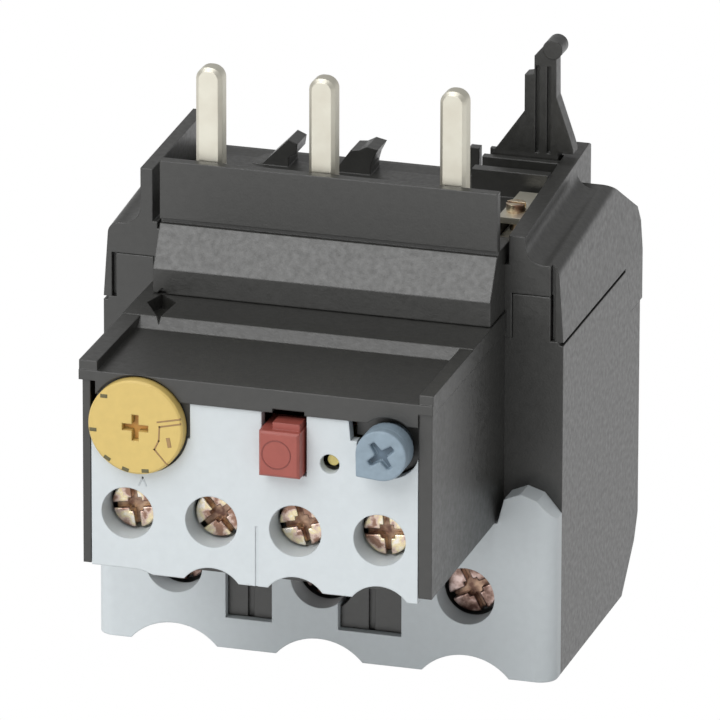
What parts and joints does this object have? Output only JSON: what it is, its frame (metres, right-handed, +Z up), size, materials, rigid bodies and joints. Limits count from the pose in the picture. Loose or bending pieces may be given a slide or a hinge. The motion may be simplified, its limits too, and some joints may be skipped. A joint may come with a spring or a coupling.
{
  "type": "thermal overload relay",
  "caption": "Plug-in thermal overload relay with clamp terminals, flat contact pins, setting dial, test button and reset knob.",
  "frame": {"origin": "middle of the foot of the bounding box", "axes": "+Z up along the contact pins, +Y to the rear face, +X to the right as seen from the operators' side"},
  "size_m": [0.06, 0.072, 0.0763],
  "materials": {
    "black_plastic": "matt injection-moulded black thermoplastic, fine spark texture",
    "light_grey_plastic": "light grey thermoplastic, satin",
    "yellow_plastic": "yellow thermoplastic, satin",
    "red_plastic": "red thermoplastic, satin",
    "blue_plastic": "grey-blue thermoplastic, satin",
    "carrier_plastic": "brown thermoset",
    "plated_copper": "tin-plated copper, satin",
    "copper": "bare copper alloy",
    "resistance_alloy": "dull resistance alloy",
    "bimetal_strip": "rolled bimetal",
    "zinc_steel": "zinc-plated steel",
    "yellow_zinc_steel": "yellow-passivated zinc on steel",
    "lever_steel": "rolled steel"
  },
  "bodies": {
    "casing": {"lower_housing": "black_plastic", "upper_housing": "black_plastic", "pin_hood": "black_plastic", "terminal_cover": "light_grey_plastic", "module_housing": "black_plastic", "module_lid": "black_plastic", "front_plate": "light_grey_plastic", "latch_arm": "black_plastic", "pass_through_terminal": "plated_copper", "contact_pin_1": "plated_copper", "terminal_bar_1": "copper", "bimetal_1": "bimetal_strip", "heater_1": "resistance_alloy", "contact_pin_2": "plated_copper", "terminal_bar_2": "copper", "bimetal_2": "bimetal_strip", "heater_2": "resistance_alloy", "contact_pin_3": "plated_copper", "terminal_bar_3": "copper", "bimetal_3": "bimetal_strip", "heater_3": "resistance_alloy", "aux_terminal_1": "plated_copper", "aux_terminal_2": "plated_copper", "aux_terminal_3": "plated_copper", "aux_terminal_4": "plated_copper"},
    "dial": {"setting_dial": "yellow_plastic"},
    "adjuster_slide": {"adjuster": "lever_steel"},
    "reset_stem": {"reset_plunger": "blue_plastic"},
    "reset_head": {"reset_knob": "blue_plastic"},
    "test": {"test_button": "red_plastic"},
    "slider": {"trip_slider": "carrier_plastic"},
    "lever": {"trip_lever": "carrier_plastic"},
    "carrier": {"contact_carrier": "carrier_plastic", "nc_bridge": "copper", "no_bridge": "copper"},
    "indicator": {"trip_indicator": "yellow_plastic"},
    "pocket_screw": {"pass_through_screw": "yellow_zinc_steel"},
    "main_screw_1": {"terminal_screw_1": "yellow_zinc_steel"},
    "cage_1": {"clamp_cage_1": "zinc_steel"},
    "main_screw_2": {"terminal_screw_2": "yellow_zinc_steel"},
    "cage_2": {"clamp_cage_2": "zinc_steel"},
    "main_screw_3": {"terminal_screw_3": "yellow_zinc_steel"},
    "cage_3": {"clamp_cage_3": "zinc_steel"},
    "aux_clamp_1": {"aux_clamp_plate_1": "zinc_steel"},
    "aux_turn_1": {"aux_screw_1": "yellow_zinc_steel"},
    "aux_clamp_2": {"aux_clamp_plate_2": "zinc_steel"},
    "aux_turn_2": {"aux_screw_2": "yellow_zinc_steel"},
    "aux_clamp_3": {"aux_clamp_plate_3": "zinc_steel"},
    "aux_turn_3": {"aux_screw_3": "yellow_zinc_steel"},
    "aux_clamp_4": {"aux_clamp_plate_4": "zinc_steel"},
    "aux_turn_4": {"aux_screw_4": "yellow_zinc_steel"}
  },
  "joints": [
    {"name": "dial_turn", "type": "hinge", "parent": "casing", "child": "dial", "pos_m": [-0.01518, -0.0343, 0.03985], "axis": [0, -1, 0], "range_deg": [-14, 135]},
    {"name": "adjuster_move", "type": "slide", "parent": "casing", "child": "adjuster_slide", "axis": [1, 0, 0], "range_m": [-0.00011, 0.00109]},
    {"name": "reset_press", "type": "slide", "parent": "casing", "child": "reset_stem", "axis": [0, 1, 0], "range_m": [0, 0.0016], "stiffness_N_per_m": 400, "springref_m": -0.001},
    {"name": "reset_turn", "type": "hinge", "parent": "reset_stem", "child": "reset_head", "pos_m": [0.0168, -0.03245, 0.0402], "axis": [0, -1, 0], "range_deg": [0, 90]},
    {"name": "test_press", "type": "slide", "parent": "casing", "child": "test", "axis": [0, 1, 0], "range_m": [0, 0.002], "stiffness_N_per_m": 400, "springref_m": -0.001},
    {"name": "trip_move", "type": "slide", "parent": "casing", "child": "slider", "axis": [1, 0, 0], "range_m": [0, 0.0016], "stiffness_N_per_m": 300, "springref_m": -0.001},
    {"name": "lever_turn", "type": "hinge", "parent": "casing", "child": "lever", "pos_m": [-0.001, -0.0145, 0.0398], "axis": [0, 0, 1], "range_deg": [-15.31, 0]},
    {"name": "carrier_move", "type": "slide", "parent": "casing", "child": "carrier", "axis": [0, 1, 0], "range_m": [0, 0.0015]},
    {"name": "indicator_move", "type": "slide", "parent": "casing", "child": "indicator", "axis": [0, -1, 0], "range_m": [0, 0.0012]},
    {"name": "pocket_screw_turn", "type": "hinge", "parent": "casing", "child": "pocket_screw", "pos_m": [0.0212, 0.0081, 0.0577], "axis": [0, 0, 1], "range_deg": [0, 360]},
    {"name": "terminal_screw_1_turn", "type": "hinge", "parent": "casing", "child": "main_screw_1", "pos_m": [-0.01972, 0.0013, 0.0105], "axis": [0, 1, 0], "range_deg": [0, 1980]},
    {"name": "clamp_cage_1_lift", "type": "slide", "parent": "casing", "child": "cage_1", "axis": [0, -1, 0], "range_m": [0, 0.0055]},
    {"name": "terminal_screw_2_turn", "type": "hinge", "parent": "casing", "child": "main_screw_2", "pos_m": [-0.00057, 0.0013, 0.0105], "axis": [0, 1, 0], "range_deg": [0, 1980]},
    {"name": "clamp_cage_2_lift", "type": "slide", "parent": "casing", "child": "cage_2", "axis": [0, -1, 0], "range_m": [0, 0.0055]},
    {"name": "terminal_screw_3_turn", "type": "hinge", "parent": "casing", "child": "main_screw_3", "pos_m": [0.01858, 0.0013, 0.0105], "axis": [0, 1, 0], "range_deg": [0, 1980]},
    {"name": "clamp_cage_3_lift", "type": "slide", "parent": "casing", "child": "cage_3", "axis": [0, -1, 0], "range_m": [0, 0.0055]},
    {"name": "aux_clamp_1_move", "type": "slide", "parent": "casing", "child": "aux_clamp_1", "axis": [0, 1, 0], "range_m": [0, 0.002]},
    {"name": "aux_screw_1_turn", "type": "hinge", "parent": "aux_clamp_1", "child": "aux_turn_1", "pos_m": [-0.0167, -0.0267, 0.02795], "axis": [0, 1, 0], "range_deg": [0, 1200]},
    {"name": "aux_clamp_2_move", "type": "slide", "parent": "casing", "child": "aux_clamp_2", "axis": [0, 1, 0], "range_m": [0, 0.002]},
    {"name": "aux_screw_2_turn", "type": "hinge", "parent": "aux_clamp_2", "child": "aux_turn_2", "pos_m": [-0.00588, -0.0267, 0.02795], "axis": [0, 1, 0], "range_deg": [0, 1200]},
    {"name": "aux_clamp_3_move", "type": "slide", "parent": "casing", "child": "aux_clamp_3", "axis": [0, 1, 0], "range_m": [0, 0.002]},
    {"name": "aux_screw_3_turn", "type": "hinge", "parent": "aux_clamp_3", "child": "aux_turn_3", "pos_m": [0.00494, -0.0267, 0.02795], "axis": [0, 1, 0], "range_deg": [0, 1200]},
    {"name": "aux_clamp_4_move", "type": "slide", "parent": "casing", "child": "aux_clamp_4", "axis": [0, 1, 0], "range_m": [0, 0.002]},
    {"name": "aux_screw_4_turn", "type": "hinge", "parent": "aux_clamp_4", "child": "aux_turn_4", "pos_m": [0.01576, -0.0267, 0.02795], "axis": [0, 1, 0], "range_deg": [0, 1200]}
  ],
  "couplings": [
    {"joint": "dial_turn", "follows": "adjuster_move", "rad_per_m": 2167.1},
    {"joint": "lever_turn", "follows": "trip_move", "rad_per_m": -166.9},
    {"joint": "carrier_move", "follows": "trip_move", "ratio": 0.9375},
    {"joint": "indicator_move", "follows": "trip_move", "ratio": 0.75},
    {"joint": "terminal_screw_1_turn", "follows": "clamp_cage_1_lift", "rad_per_m": 6283.2},
    {"joint": "terminal_screw_2_turn", "follows": "clamp_cage_2_lift", "rad_per_m": 6283.2},
    {"joint": "terminal_screw_3_turn", "follows": "clamp_cage_3_lift", "rad_per_m": 6283.2},
    {"joint": "aux_screw_1_turn", "follows": "aux_clamp_1_move", "rad_per_m": 10472},
    {"joint": "aux_screw_2_turn", "follows": "aux_clamp_2_move", "rad_per_m": 10472},
    {"joint": "aux_screw_3_turn", "follows": "aux_clamp_3_move", "rad_per_m": 10472},
    {"joint": "aux_screw_4_turn", "follows": "aux_clamp_4_move", "rad_per_m": 10472}
  ]
}
